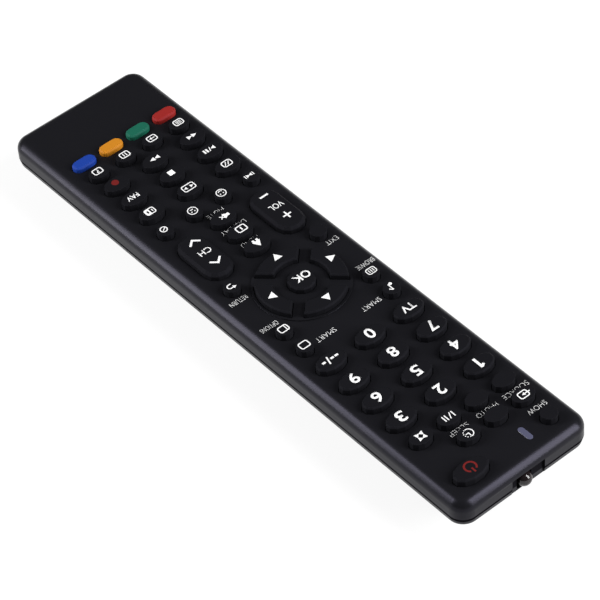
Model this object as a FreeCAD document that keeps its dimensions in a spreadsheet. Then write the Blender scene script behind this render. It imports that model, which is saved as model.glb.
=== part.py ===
"""A hand-held infrared remote control for a television.

Two moulded case halves meet at a seam round the side.  Between them lie a rubber keypad mat on a circuit
board, and above the mat stand 58 hard key caps, each in its own hole of the top case.  The underside is a
tucked hull with a bay for two AAA cells behind a sliding door.

Millimetres.  +Z is up, the keys face up and the emitter end points to +Y.  The origin lies on the surface
that the remote rests on, under the middle of its bounding box.
"""
import FreeCAD
import Part
import Sketcher
import math
import os
import re
from collections import namedtuple

# Driving sizes, in millimetres unless the line says otherwise
SIZES = {
    # case
    "case_width": 50,
    "case_length": 210,
    "case_height": 20,           # underside to keypad face
    "seam_height": 13.3,
    "corner_radius": 5,          # seen from above
    "shoulder_radius": 3.6,
    "groove_height": 0.4,        # the open line round the seam
    "groove_depth": 0.5,
    "top_wall": 2,
    "face_thickness": 1.8,
    # hull of the bottom case: how far each ring is drawn in from the seam outline, and its height
    "hull_wall": 2.4,
    "floor_thickness": 2,
    "bilge_height": 11.1,
    "bilge_inset": 0.4,
    "flank_height": 8.9,
    "flank_inset": 2.2,
    "base_inset": 10,
    "end_rake": 1.3,             # below the bilge the ends are drawn in this many times as far
    # tongue of the bottom case inside the top wall
    "lip_gap": 0.15,
    "lip_thickness": 1,
    "lip_height": 1.5,
    "lip_root": 3,
    # battery bay and door
    "cell_diameter": 10.5,
    "cell_length": 44.5,
    "cell_nub": 1.2,
    "cell_nub_diameter": 3.8,
    "cell_gap": 0.3,
    "bay_wall": 1.2,
    "bay_ceiling": 0.6,
    "bay_end": 14.4,             # from the tail of the case to the bay
    "contact_room": 3,           # spring or plate at each end of the cells
    "contact_size": 8,
    "contact_sheet": 0.4,
    "leaf_bow": 1.9,
    "door_thickness": 1.5,
    "door_margin": 2,            # how far the door reaches past the bay on each side
    "door_gap": 0.15,
    "rail_width": 1,
    "rail_height": 0.8,
    "grip_count": 5,             # grooves, a number
    "grip_pitch": 2.4,
    "grip_depth": 0.4,
    # circuit board and keypad mat
    "board_thickness": 1.2,
    "board_gap": 0.35,
    "board_rest": 0.1,
    "chip_width": 8,
    "chip_length": 12,
    "chip_height": 1.6,
    "chip_row": 69,              # from the emitter end, as the rows of keys
    "resonator_width": 7,
    "resonator_length": 3,
    "resonator_height": 3.5,
    "resonator_row": 43,
    "capacitor_width": 6,
    "capacitor_length": 10,
    "capacitor_height": 6,
    "capacitor_row": 115,
    "mat_thickness": 1.2,
    "mat_gap": 0.25,
    "rib_thickness": 1.2,        # ribs of the hull under the board
    "rib_height": 6,
    "rib_inset": 7,
    "rib_pitch": 30,             # from the emitter end to the first rib, and on to each next one
    "rib_count": 3,              # a number
    # keys in general
    "key_rise": 2.3,             # cap above the face
    "colour_rise": 1.6,
    "key_travel": 1,
    "key_spare": 0.05,           # left under a key that is fully down
    "key_gap": 0.25,             # round a cap in its hole
    "skirt_margin": 0.4,
    "skirt_gap": 0.2,            # under the face plate
    "well_gap": 0.25,            # round a skirt in the mat
    "key_edge": 0.5,             # bevel round the top of a main key
    "key_sides": 12,             # flats on a full round, a number
    "ring_sides": 32,            # flats on the ring of arrows and on a cell, a number
    "rocker_tilt": 4,            # degrees each way
    # key caps, by kind
    "power_width": 12,
    "power_depth": 7.1,
    "round_width": 5.4,
    "quick_width": 7.6,
    "quick_depth": 5.4,
    "number_width": 10.4,
    "number_depth": 6.6,
    "menu_width": 9,
    "menu_depth": 5.6,
    "play_width": 8.7,
    "play_depth": 5.7,
    "text_width": 6.8,
    "text_depth": 5,
    "colour_gap": 2.2,           # between two colour keys
    "colour_depth": 4.3,
    "okay_width": 8.8,
    "rocker_width": 10,
    "rocker_length": 20.6,
    "rocker_corner": 4.6,
    "rocker_edge": 0.9,
    # ring of four arrow keys
    "arrow_inner": 8.7,          # radii
    "arrow_outer": 14.3,
    "arrow_split": 1.9,          # half the web between two arrows
    "arrow_foot": 7,             # from the middle of the ring to the nearer side of a skirt
    "disc_radius": 15.3,         # raised disc of the face round the ring
    "disc_height": 0.4,
    "disc_sides": 40,            # a number
    # columns of keys: from the side of the case to the middle of the outermost key
    "power_margin": 11.3,
    "show_margin": 8.7,
    "quick_margin": 9.1,         # rows of four
    "number_margin": 10,         # rows of three
    "side_margin": 8.1,          # small round keys at both sides
    "rocker_margin": 10.8,
    "tail_shift": 0.65,          # the rows below the rockers lie this far to the left of the middle
    # rows of keys: from the emitter end of the case to their middles
    "top_row": 8.3,
    "quick_row": 18.4,
    "sound_row": 26.6,
    "number_row": 36,
    "number_pitch": 10.15,
    "music_row": 76.1,
    "browse_row": 85.4,
    "arrow_row": 97.4,
    "exit_row": 109.5,
    "menu_row": 118,
    "menu_pitch": 8.05,
    "rocker_row": 125.4,
    "shortcut_row": 142,
    "play_row": 151,
    "play_pitch": 8.65,
    "text_row": 176.3,
    "colour_row": 184,
    # indicator window and infrared emitter
    "lens_width": 2,
    "lens_length": 5.6,
    "lens_x": -7.5,
    "lens_row": 8.7,
    "lens_gap": 0.1,
    "lens_flange": 0.8,
    "emitter_diameter": 5,
    "emitter_length": 8,
    "emitter_proud": 2.2,        # beyond the end wall
    "emitter_x": 0.6,
    "emitter_gap": 0.3,
    "notch_reach": 7.4,          # from the emitter to the far end of its notch
    "notch_edge": 5.1,           # and to the near end
    "notch_height": 3.4,           # above the seam
    "notch_sill": 2.5,           # below the seam
    "notch_recess": 0.8,
    "lead_width": 0.5,
    "lead_pitch": 2.54,
    "lead_length": 5,
}

# Heights and lengths that follow from them
MIDDLE_Y = "(-emitter_proud / 2)"                      # the case, so that the bounding box is centred
BAY_TOP = "(door_thickness + cell_diameter + 2 * cell_gap)"
BOARD_BOTTOM = f"({BAY_TOP} + bay_ceiling + board_rest)"
BOARD_TOP = f"({BOARD_BOTTOM} + board_thickness)"
KEY_BOTTOM = f"({BOARD_TOP} + key_travel + key_spare)"
PLATE_BOTTOM = "(case_height - face_thickness)"
SKIRT_HEIGHT = f"({PLATE_BOTTOM} - skirt_gap - {KEY_BOTTOM})"
ROCKER_SKIRT = f"({SKIRT_HEIGHT} - rocker_length / 2 * sin(rocker_tilt * 1 deg) - skirt_gap)"
ARROW_HALF = "((sqrt(arrow_outer^2 - arrow_split^2) - arrow_split) / sqrt(2))"    # half an arrow key's width
LIP_INSET = "(top_wall + lip_gap)"
INNER_INSET = f"({LIP_INSET} + lip_thickness)"
EMITTER_HEIGHT = f"({BOARD_BOTTOM} + board_thickness / 2)"
BAY_WIDTH = "(2 * cell_diameter + 3 * cell_gap)"
BAY_LENGTH = "(cell_length + 2 * contact_room)"
BAY_TAIL = "(bay_end - case_length / 2)"               # the end of the bay nearer the tail
BAY_MIDDLE = f"({BAY_TAIL} + {BAY_LENGTH} / 2 + {MIDDLE_Y})"
CELL_X = "((cell_diameter + cell_gap) / 2)"
CELL_HEIGHT = "(door_thickness + cell_gap + cell_diameter / 2)"
OVERSHOOT = "5"                                        # how far a cut runs past what it cuts
SIDE_X = "(case_width / 2 - side_margin)"
NUMBER_PITCH_X = "(case_width / 2 - number_margin)"
QUICK_PITCH_X = "((case_width - 2 * quick_margin) / 3)"

document = FreeCAD.newDocument("remote_control")
sheet = document.addObject("Spreadsheet::Sheet", "Sizes")
for line, (alias, size) in enumerate(SIZES.items(), start=1):
    sheet.set(f"A{line}", alias)
    sheet.set(f"B{line}", str(size))
    sheet.setAlias(f"B{line}", alias)
document.recompute()


def formula(text):
    """Turn the plain size names of an expression into references to the sheet."""
    return re.sub(r"[a-z]\w*", lambda word: "Sizes." + word[0] if word[0] in SIZES else word[0], str(text))


def value(text):
    """The number that an expression gives now, for the first draft of a sketch."""
    return float(sheet.evalExpression(formula(text)))


def bind(thing, **properties):
    """Bind an object's own dimensions to the sheet."""
    for name, text in properties.items():
        thing.setExpression(name, formula(text))


def place(thing, x="0", y="0", z="0"):
    """Bind where an object stands."""
    for axis, text in zip("xyz", (x, y, z)):
        thing.setExpression(f"Placement.Base.{axis}", formula(text))


sub_parts = []


def finished(thing, label):
    """Name a sub-part and put it on the list of those to write."""
    thing.Label = label
    sub_parts.append(thing)
    return thing


# Sketches

def sketch_on(body, name, role="XY_Plane", height="0"):
    """A sketch on one of the body's own origin planes, lifted along its normal."""
    sketch = body.newObject("Sketcher::SketchObject", name)
    plane = next(plane for plane in body.Origin.OriginFeatures if plane.Role == role)
    sketch.AttachmentSupport = [(plane, "")]
    sketch.MapMode = "FlatFace"
    sketch.setExpression("AttachmentOffset.Base.z", formula(height))
    return sketch


def dimension(sketch, kind, *where, size):
    """Add one driving dimension, bound to the sheet."""
    index = sketch.addConstraint(Sketcher.Constraint(kind, *where, value(size)))
    sketch.setExpression(f"Constraints[{index}]", formula(size))


def rounded_rectangle(sketch, width, length, radius):
    """A rectangle about the origin with round corners."""
    half_width = value(width) / 2 - value(radius)
    half_length = value(length) / 2 - value(radius)
    first = sketch.GeometryCount
    corners = [(1, 1), (-1, 1), (-1, -1), (1, -1)]
    for turn, (side, end) in enumerate(corners):
        centre = FreeCAD.Vector(side * half_width, end * half_length, 0)
        circle = Part.Circle(centre, FreeCAD.Vector(0, 0, 1), value(radius))
        start = turn * math.pi / 2
        sketch.addGeometry(Part.ArcOfCircle(circle, start, start + math.pi / 2))
    for turn in range(4):
        here = sketch.Geometry[first + turn].EndPoint
        there = sketch.Geometry[first + (turn + 1) % 4].StartPoint
        sketch.addGeometry(Part.LineSegment(here, there))
    rules = []
    for turn in range(4):
        side = first + 4 + turn
        rules.append(Sketcher.Constraint("Tangent", first + turn, 2, side, 1))
        rules.append(Sketcher.Constraint("Tangent", side, 2, first + (turn + 1) % 4, 1))
        rules.append(Sketcher.Constraint("Horizontal" if turn % 2 == 0 else "Vertical", side))
        if turn:
            rules.append(Sketcher.Constraint("Equal", first, first + turn))
    sketch.addConstraint(rules)
    dimension(sketch, "Radius", first, size=radius)
    dimension(sketch, "DistanceX", -1, 1, first, 3, size=f"{width} / 2 - {radius}")
    dimension(sketch, "DistanceY", -1, 1, first, 3, size=f"{length} / 2 - {radius}")
    dimension(sketch, "DistanceX", first + 2, 3, -1, 1, size=f"{width} / 2 - {radius}")
    dimension(sketch, "DistanceY", first + 2, 3, -1, 1, size=f"{length} / 2 - {radius}")


def oval(sketch, width, depth):
    """An ellipse about the origin, drawn with flats that touch it."""
    sides = SIZES["key_sides"]
    step = 2 * math.pi / sides
    turns = [(corner + 0.5) * step for corner in range(sides)]
    reaches = [(math.cos(turn) / math.cos(step / 2), math.sin(turn) / math.cos(step / 2)) for turn in turns]
    half_width, half_depth = value(width) / 2, value(depth) / 2
    corners = [FreeCAD.Vector(across * half_width, along * half_depth, 0) for across, along in reaches]
    for corner, here in enumerate(corners):
        sketch.addGeometry(Part.LineSegment(here, corners[(corner + 1) % sides]))
    for corner, (across, along) in enumerate(reaches):
        sketch.addConstraint(Sketcher.Constraint("Coincident", corner, 1, (corner - 1) % sides, 2))
        for kind, size, reach in (("DistanceX", width, across), ("DistanceY", depth, along)):
            where = (-1, 1, corner, 1) if reach > 0 else (corner, 1, -1, 1)
            dimension(sketch, kind, *where, size=f"{size} / 2 * {abs(reach):.6f}")


def case_outline(sketch, inset="0"):
    """The outline of the case seen from above, drawn in by an inset."""
    width, length = (f"({size} - 2 * {inset})" for size in ("case_width", "case_length"))
    rounded_rectangle(sketch, width, length, f"(corner_radius - {inset})")


# Features

def pad(body, sketch, length, name="Pad"):
    """Add material from a sketch upward."""
    feature = body.newObject("PartDesign::Pad", name)
    feature.Profile = sketch
    bind(feature, Length=length)
    return feature


def pocket_up(body, sketch, length, name="Pocket"):
    """Cut from a sketch upward."""
    feature = body.newObject("PartDesign::Pocket", name)
    feature.Profile = sketch
    feature.Reversed = True
    bind(feature, Length=length)
    return feature


def block(body, kind, name, size, corner):
    """Add or subtract a box, given by its size and its lowest corner."""
    feature = body.newObject(f"PartDesign::{kind}Box", name)
    bind(feature, Length=size[0], Width=size[1], Height=size[2])
    place(feature, *corner)
    return feature


def centred_block(body, name, size):
    """Add a box that stands on the middle of the body's ground plane."""
    return block(body, "Additive", name, size, (f"-{size[0]} / 2", f"-{size[1]} / 2", "0"))


def prism(body, kind, name, sides, radius, height):
    """Add or subtract a round of flats, which costs far fewer facets than a true one."""
    feature = body.newObject(f"PartDesign::{kind}Prism", name)
    bind(feature, Polygon=sides, Circumradius=radius, Height=height)
    return feature


def top_face(feature):
    """The name of the feature's highest flat face."""
    faces = feature.Shape.Faces
    highest = max(range(len(faces)), key=lambda index: faces[index].CenterOfMass.z)
    return [f"Face{highest + 1}"]


def bevel(body, feature, where, size):
    """Chamfer edges or all the edges of a face."""
    document.recompute()
    chamfer = body.newObject("PartDesign::Chamfer", "Bevel")
    chamfer.Base = (feature, where(feature))
    bind(chamfer, Size=size)
    return chamfer


# Keys: a straight-sided cap on a wider skirt, which the face plate holds in

Key = namedtuple("Key", "name kind x y turn", defaults=(0,))
KINDS = {
    # kind: width, depth, rise above the face, bevel round the top
    "power": ("power_width", "power_depth", "key_rise", "key_edge"),
    "round": ("round_width", "round_width", "key_rise", None),
    "quick": ("quick_width", "quick_depth", "key_rise", None),
    "number": ("number_width", "number_depth", "key_rise", "key_edge"),
    "menu": ("menu_width", "menu_depth", "key_rise", None),
    "play": ("play_width", "play_depth", "key_rise", None),
    "text": ("text_width", "text_depth", "key_rise", None),
    "colour": (f"({QUICK_PITCH_X} - colour_gap)", "colour_depth", "colour_rise", "key_edge"),
    "okay": ("okay_width", "okay_width", "key_rise", "key_edge"),
    "rocker": ("rocker_width", "rocker_length", "key_rise", "rocker_edge"),
    "arrow": (None, None, "key_rise", "key_edge"),
    "lens": ("lens_length", "lens_width", None, None),
}
OVALS = ("power", "quick", "number", "menu", "play", "text")


def row(distance):
    """The place along the case of what lies at a distance from its emitter end."""
    return f"(case_length / 2 - ({distance}))"


def side_by_side(kind, pitch, distance, names, shift="0"):
    """A row of like keys, evenly spaced about the middle of the case; None leaves a place empty."""
    middle = (len(names) - 1) / 2
    return [Key(name, kind, f"({place - middle} * {pitch} - {shift})", row(distance))
            for place, name in enumerate(names) if name]


def numbers(line, names):
    """One line of the number block."""
    return side_by_side("number", NUMBER_PITCH_X, f"number_row + {line} * number_pitch", names)


def playback(line, names):
    """One line of the playback block."""
    return side_by_side("play", NUMBER_PITCH_X, f"play_row + {line} * play_pitch", names, "tail_shift")


def at_sides(distance, names):
    """Two small round keys, one at each side of the case."""
    return side_by_side("round", f"2 * {SIDE_X}", distance, names)


KEYS = [
    Key("key_power", "power", "case_width / 2 - power_margin", row("top_row")),
    Key("key_show", "round", "show_margin - case_width / 2", row("top_row")),
    *side_by_side("quick", QUICK_PITCH_X, "quick_row", ["key_source", "key_photo", "key_sleep", None]),
    *side_by_side("quick", QUICK_PITCH_X, "sound_row", [None, None, "key_sound", "key_format"]),
    *numbers(0, ["key_1", "key_2", "key_3"]),
    *numbers(1, ["key_4", "key_5", "key_6"]),
    *numbers(2, ["key_7", "key_8", "key_9"]),
    *numbers(3, ["key_tv", "key_0", "key_dash"]),
    *at_sides("music_row", ["key_music", "key_square"]),
    *at_sides("browse_row", ["key_browse", "key_options"]),
    Key("key_ok", "okay", "0", row("arrow_row")),
    Key("key_up", "arrow", "0", row("arrow_row")),
    Key("key_left", "arrow", "0", row("arrow_row"), 90),
    Key("key_down", "arrow", "0", row("arrow_row"), 180),
    Key("key_right", "arrow", "0", row("arrow_row"), 270),
    *at_sides("exit_row", ["key_exit", "key_return"]),
    Key("volume_rocker", "rocker", "rocker_margin - case_width / 2", row("rocker_row")),
    Key("channel_rocker", "rocker", "case_width / 2 - rocker_margin", row("rocker_row")),
    Key("key_home", "menu", "0", row("menu_row")),
    Key("key_display", "menu", "0", row("menu_row + menu_pitch")),
    Key("key_mute", "menu", "0", row("menu_row + 2 * menu_pitch")),
    *playback(0, ["key_picture", "key_wide", "key_index"]),
    *playback(1, ["key_play", "key_stop", "key_favourite"]),
    *playback(2, ["key_rewind", "key_forward", "key_record"]),
    *side_by_side("colour", QUICK_PITCH_X, "colour_row",
                  ["key_red", "key_green", "key_yellow", "key_blue"], "tail_shift"),
]

# Rows of like keys that share one node, each key still a solid of its own
KEY_GROUPS = {
    "blank_keys": side_by_side("quick", QUICK_PITCH_X, "sound_row", ["blank_1", "blank_2", None, None]),
    "shortcut_keys": side_by_side("round", f"(2 * {SIDE_X} / 3)", "shortcut_row",
                                  ["shortcut_1", "shortcut_2", "shortcut_3", "shortcut_4"], "tail_shift"),
    "text_keys": side_by_side("text", QUICK_PITCH_X, "text_row",
                              ["text_1", "text_2", "text_3", "text_4"], "tail_shift"),
}
ALL_KEYS = KEYS + [key for group in KEY_GROUPS.values() for key in group]
LENS = Key("indicator_lens", "lens", "lens_x", row("lens_row"), 90)


def arrow_solid(body, height, grow):
    """The quarter of the arrow ring toward +Y: boxes that meet at its tip cut away the other three."""
    for kind, radius in (("Additive", f"(arrow_outer + {grow})"), ("Subtractive", f"(arrow_inner - {grow})")):
        prism(body, kind, "Ring", "ring_sides", radius, height)
    for turn in (-45, 135, 225):
        quarter = ("2 * arrow_outer", "2 * arrow_outer", height)
        split = block(body, "Subtractive", "Split", quarter, ("0", f"(arrow_split - {grow}) * sqrt(2)", "0"))
        split.Placement.Rotation = FreeCAD.Rotation(FreeCAD.Vector(0, 0, 1), turn)
    return split


def outline_solid(body, kind, height, grow="0"):
    """The outline of a key cap, or of its hole when grown by a gap, raised to a height."""
    if kind == "arrow":
        return arrow_solid(body, height, grow)
    width, depth = (f"({size} + 2 * {grow})" for size in KINDS[kind][:2])
    if kind in OVALS:
        sketch = sketch_on(body, "Outline")
        oval(sketch, width, depth)
        document.recompute()
        return pad(body, sketch, height)
    radius = f"(rocker_corner + {grow})" if kind == "rocker" else f"({depth} / 2)"
    for side in (0,) if width == depth else (-1, 1):
        for end in (-1, 1) if kind == "rocker" else (0,):
            corner = prism(body, "Additive", "Corner", "key_sides", radius, height)
            place(corner, f"{side} * ({width} / 2 - {radius})", f"{end} * ({depth} / 2 - {radius})")
    if width == depth:
        return corner
    solid = centred_block(body, "Middle", (f"({width} - 2 * {radius})", depth, height))
    if kind == "rocker":
        solid = centred_block(body, "Sides", (width, f"({depth} - 2 * {radius})", height))
    return solid


def skirt(body, kind):
    """The foot of a key, wider than its hole."""
    if kind == "arrow":
        size = ("2 * (arrow_foot - key_gap)", "(arrow_outer + skirt_margin - arrow_foot)", SKIRT_HEIGHT)
        return block(body, "Additive", "Skirt", size, ("key_gap - arrow_foot", "arrow_foot", "0"))
    height = ROCKER_SKIRT if kind == "rocker" else SKIRT_HEIGHT
    width, depth = (f"({size} + 2 * skirt_margin)" for size in KINDS[kind][:2])
    return centred_block(body, "Skirt", (width, depth, height))


def turned(body, degrees):
    """Turn a body about the upright line through its origin."""
    body.Placement.Rotation = FreeCAD.Rotation(FreeCAD.Vector(0, 0, 1), degrees)
    return body


def key_body(key):
    """One key, standing on the middle of its skirt."""
    rise, edge = KINDS[key.kind][2:]
    body = document.addObject("PartDesign::Body", key.name)
    cap = outline_solid(body, key.kind, f"(case_height + {rise} - {KEY_BOTTOM})")
    if edge:
        bevel(body, cap, top_face, edge)
    body.Tip = skirt(body, key.kind)
    return turned(body, key.turn)


for key in KEYS:
    place(finished(key_body(key), key.name), key.x, f"{key.y} + {MIDDLE_Y}", KEY_BOTTOM)

for label, group in KEY_GROUPS.items():
    members = []
    for key in group:
        member = key_body(key)
        place(member, key.x, key.y)
        members.append(member)
    keys = document.addObject("Part::Compound", label)
    keys.Links = members
    place(finished(keys, label), "0", MIDDLE_Y, KEY_BOTTOM)


# Cutters for the top case and the mat

def box(name, size, corner):
    """A plain box, given by its size and its lowest corner."""
    solid = document.addObject("Part::Box", name)
    bind(solid, Length=size[0], Width=size[1], Height=size[2])
    place(solid, *corner)
    return solid


def centred_box(name, size, x, y, z):
    """A plain box about an upright line."""
    return box(name, size, (f"{x} - {size[0]} / 2", f"{y} - {size[1]} / 2", z))


def face_hole(key, gap):
    """The cutter of one hole through the face plate."""
    body = document.addObject("PartDesign::Body", f"{key.name}_hole")
    body.Tip = outline_solid(body, key.kind, f"(face_thickness + 2 * {OVERSHOOT})", gap)
    place(turned(body, key.turn), key.x, key.y, f"{PLATE_BOTTOM} - {OVERSHOOT}")
    return body


def joined(name, solids):
    """Several cutters as one."""
    union = document.addObject("Part::MultiFuse", name)
    union.Shapes = solids
    return union


def cut_away(label, base, tool, height="0"):
    """A finished sub-part: a base with its openings cut."""
    cut = document.addObject("Part::Cut", label)
    cut.Base = base
    cut.Tool = tool
    place(finished(cut, label), "0", MIDDLE_Y, height)
    return cut


# Top case: a shell with a rounded shoulder and a low disc round the arrow ring, a hole for each key, the
# lens window and the emitter's notch
shell = document.addObject("PartDesign::Body", "shell")
shell_outline = sketch_on(shell, "Outline", height="seam_height")
case_outline(shell_outline)
document.recompute()
walls = pad(shell, shell_outline, "case_height - seam_height", "Walls")
document.recompute()
shoulder = shell.newObject("PartDesign::Fillet", "Shoulder")
shoulder.Base = (walls, top_face(walls))
bind(shoulder, Radius="shoulder_radius")
document.recompute()
cavity_outline = sketch_on(shell, "CavityOutline", height="seam_height")
case_outline(cavity_outline, "top_wall")
document.recompute()
pocket_up(shell, cavity_outline, f"{PLATE_BOTTOM} - seam_height", "Cavity")
document.recompute()
shell.Tip = prism(shell, "Additive", "Disc", "disc_sides", "disc_radius", "(face_thickness + disc_height)")
place(shell.Tip, "0", row("arrow_row"), PLATE_BOTTOM)

openings = [face_hole(key, "key_gap") for key in ALL_KEYS] + [face_hole(LENS, "lens_gap")]
notch_size = ("(notch_reach + notch_edge)", f"3 * {OVERSHOOT}", f"({OVERSHOOT} + notch_height)")
notch_corner = ("emitter_x - notch_reach", f"case_length / 2 - 2 * {OVERSHOOT}", f"seam_height - {OVERSHOOT}")
openings.append(box("notch", notch_size, notch_corner))
cut_away("top_case", shell, joined("face_openings", openings))


# Bottom case: a hull drawn in below the seam, with the battery bay, the board's rests and the door's rails

def hull_rings(wall):
    """Height and inset of each ring of the hull from the seam down, or of the space inside its wall."""
    if wall == "0":
        return [("seam_height", "0"), ("bilge_height", "bilge_inset"), ("flank_height", "flank_inset"),
                ("0", "base_inset")]
    flank_inset = f"(flank_inset + {wall})"
    base_inset = f"(base_inset + {wall} - floor_thickness * (base_inset - flank_inset) / flank_height)"
    return [("seam_height", wall), ("flank_height", flank_inset), ("floor_thickness", base_inset)]


def hull(body, kind, name, wall="0"):
    """Loft the hull, or the space inside its wall."""
    rings = []
    for height, inset in hull_rings(wall):
        ring = sketch_on(body, f"{name}Ring", height=height)
        end_inset = f"({inset} + max(0; {inset} - {wall} - bilge_inset) * (end_rake - 1))"
        width, length = f"(case_width - 2 * {inset})", f"(case_length - 2 * {end_inset})"
        rounded_rectangle(ring, width, length, f"(corner_radius - {wall})")
        rings.append(ring)
    document.recompute()
    loft = body.newObject(f"PartDesign::{kind}Loft", name)
    loft.Profile = rings[0]
    loft.Sections = rings[1:]
    loft.Ruled = True
    return loft


bottom = document.addObject("PartDesign::Body", "bottom_shell")
hull(bottom, "Additive", "Hull")
document.recompute()
hull(bottom, "Subtractive", "Inside", "hull_wall")
document.recompute()
groove_outline = sketch_on(bottom, "GrooveOutline", height="seam_height - groove_height")
case_outline(groove_outline, f"(-{OVERSHOOT})")
case_outline(groove_outline, "groove_depth")
document.recompute()
pocket_up(bottom, groove_outline, "groove_height", "Groove")
document.recompute()
lip_outline = sketch_on(bottom, "LipOutline", height="seam_height - lip_root")
case_outline(lip_outline, LIP_INSET)
case_outline(lip_outline, INNER_INSET)
document.recompute()
pad(bottom, lip_outline, "lip_root + lip_height", "Lip")

bay_block_width = f"({BAY_WIDTH} + 2 * bay_wall)"
block(bottom, "Additive", "BayWalls",
      (bay_block_width, f"({BAY_LENGTH} + 2 * bay_wall)", f"({BOARD_BOTTOM} - board_rest)"),
      (f"-{bay_block_width} / 2", f"{BAY_TAIL} - bay_wall", "0"))
for rib in range(1, SIZES["rib_count"] + 1):
    block(bottom, "Additive", "Rib",
          ("(case_width - 2 * rib_inset)", "rib_thickness", f"({BOARD_BOTTOM} - rib_height)"),
          ("rib_inset - case_width / 2", row(f"{rib} * rib_pitch"), "rib_height"))
block(bottom, "Subtractive", "Bay",
      (BAY_WIDTH, BAY_LENGTH, f"({BAY_TOP} + {OVERSHOOT})"),
      (f"-{BAY_WIDTH} / 2", BAY_TAIL, f"-{OVERSHOOT}"))

DOOR_WIDTH = f"({BAY_WIDTH} + 2 * door_margin)"
DOOR_HEAD = f"({BAY_TAIL} + {BAY_LENGTH} + door_margin)"        # the door's end nearer the keys
RAIL_SPAN = f"({DOOR_WIDTH} + 2 * rail_width)"
RAIL_LOW = "(door_thickness - rail_height)"
TAIL = f"(-case_length / 2 - {OVERSHOOT})"


def door_slot(width, low, high, gap):
    """Size and corner of a slot under the case, which the door or its rails fill up to a gap."""
    size = (f"({width} + 2 * {gap})", f"({DOOR_HEAD} + {gap} - {TAIL})", f"({high} - {low})")
    return size, (f"-{size[0]} / 2", TAIL, low)


slot_top = "(door_thickness + door_gap)"
panel_slot = door_slot(DOOR_WIDTH, f"(-{OVERSHOOT})", slot_top, "door_gap")
block(bottom, "Subtractive", "PanelSlot", *panel_slot)
rail_slot = door_slot(RAIL_SPAN, f"({RAIL_LOW} - door_gap)", slot_top, "door_gap")
block(bottom, "Subtractive", "RailSlot", *rail_slot)

emitter_half = "(emitter_diameter / 2 + emitter_gap)"
block(bottom, "Subtractive", "Recess",
      ("(notch_reach + notch_edge)", OVERSHOOT, "(notch_sill + lip_root)"),
      ("emitter_x - notch_reach", "case_length / 2 - notch_recess", "seam_height - notch_sill"))
block(bottom, "Additive", "Tongue",
      ("(notch_reach + notch_edge - 2 * lip_gap)", "(top_wall - notch_recess)", "(notch_height - lip_gap)"),
      ("emitter_x - notch_reach + lip_gap", "case_length / 2 - top_wall", "seam_height"))
bottom.Tip = block(bottom, "Subtractive", "EmitterSlot",
                   (f"(2 * {emitter_half})", f"(3 * {OVERSHOOT})", f"(3 * {OVERSHOOT})"),
                   (f"emitter_x - {emitter_half}", f"case_length / 2 - 2 * {OVERSHOOT}",
                    f"{EMITTER_HEIGHT} - {emitter_half}"))
place(finished(bottom, "bottom_case"), "0", MIDDLE_Y)


# Battery door: the part of the hull under the bay, with a rail along each side and grooves for the thumb
door_hull = document.addObject("PartDesign::Body", "door_hull")
door_hull.Tip = hull(door_hull, "Additive", "Hull")
document.recompute()
door_panel = box("door_panel", *door_slot(DOOR_WIDTH, "0", "door_thickness", "0"))
door_rails = box("door_rails", *door_slot(RAIL_SPAN, RAIL_LOW, "door_thickness", "0"))
door_blank = document.addObject("Part::Common", "door_blank")
door_blank.Base = door_hull
door_blank.Tool = joined("door_section", [door_panel, door_rails])
groove_size = (f"({DOOR_WIDTH} / 2)", "(grip_pitch / 2)", "(2 * grip_depth)")
grooves = []
for groove in range(SIZES["grip_count"]):
    groove_y = f"({DOOR_HEAD} - {groove + 2} * grip_pitch)"
    grooves.append(centred_box("groove", groove_size, "0", groove_y, "-grip_depth"))
cut_away("battery_door", door_blank, joined("grip", grooves))


# Circuit board, with its parts soldered to the underside, and the keypad mat that lies on it

def flat_outline(sketch, gap):
    """The outline of a flat piece inside the lip."""
    case_outline(sketch, f"({INNER_INSET} + {gap})")


board = document.addObject("PartDesign::Body", "board")
board_outline = sketch_on(board, "BoardOutline")
flat_outline(board_outline, "board_gap")
document.recompute()
pad(board, board_outline, "board_thickness", "Board")
for name in ("chip", "resonator", "capacitor"):
    size = tuple(f"{name}_{side}" for side in ("width", "length", "height"))
    corner = (f"-{size[0]} / 2", f"{row(f'{name}_row')} - {size[1]} / 2", f"-{size[2]}")
    block(board, "Additive", name.capitalize(), size, corner)
emitter_seat = "case_length / 2 + emitter_proud - emitter_length - emitter_gap"
board.Tip = block(board, "Subtractive", "EmitterSeat",
                  (f"(2 * {emitter_half})", f"(3 * {OVERSHOOT})", f"(4 * {OVERSHOOT})"),
                  (f"emitter_x - {emitter_half}", emitter_seat, f"-2 * {OVERSHOOT}"))
place(finished(board, "circuit_board"), "0", MIDDLE_Y, BOARD_BOTTOM)

mat_sheet = document.addObject("PartDesign::Body", "mat_sheet")
mat_outline = sketch_on(mat_sheet, "MatOutline")
flat_outline(mat_outline, "mat_gap")
document.recompute()
mat_sheet.Tip = pad(mat_sheet, mat_outline, "mat_thickness", "Sheet")
well_margin = "(skirt_margin + well_gap)"
well_height = f"(mat_thickness + 2 * {OVERSHOOT})"
wells = []
for key in ALL_KEYS:
    if key.kind not in ("okay", "arrow"):
        width, depth = (f"({size} + 2 * {well_margin})" for size in KINDS[key.kind][:2])
        wells.append(centred_box("key_well", (width, depth, well_height), key.x, key.y, f"-{OVERSHOOT}"))
ring_reach, ring_width = f"(2 * (arrow_outer + {well_margin}))", f"(2 * ({ARROW_HALF} + {well_margin}))"
for width, depth in ((ring_reach, ring_width), (ring_width, ring_reach)):
    size = (width, depth, well_height)
    wells.append(centred_box("ring_well", size, "0", row("arrow_row"), f"-{OVERSHOOT}"))
emitter_well = box("emitter_well", (f"(2 * {emitter_half})", f"(3 * {OVERSHOOT})", well_height),
                   (f"emitter_x - {emitter_half}", emitter_seat, f"-{OVERSHOOT}"))
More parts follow.
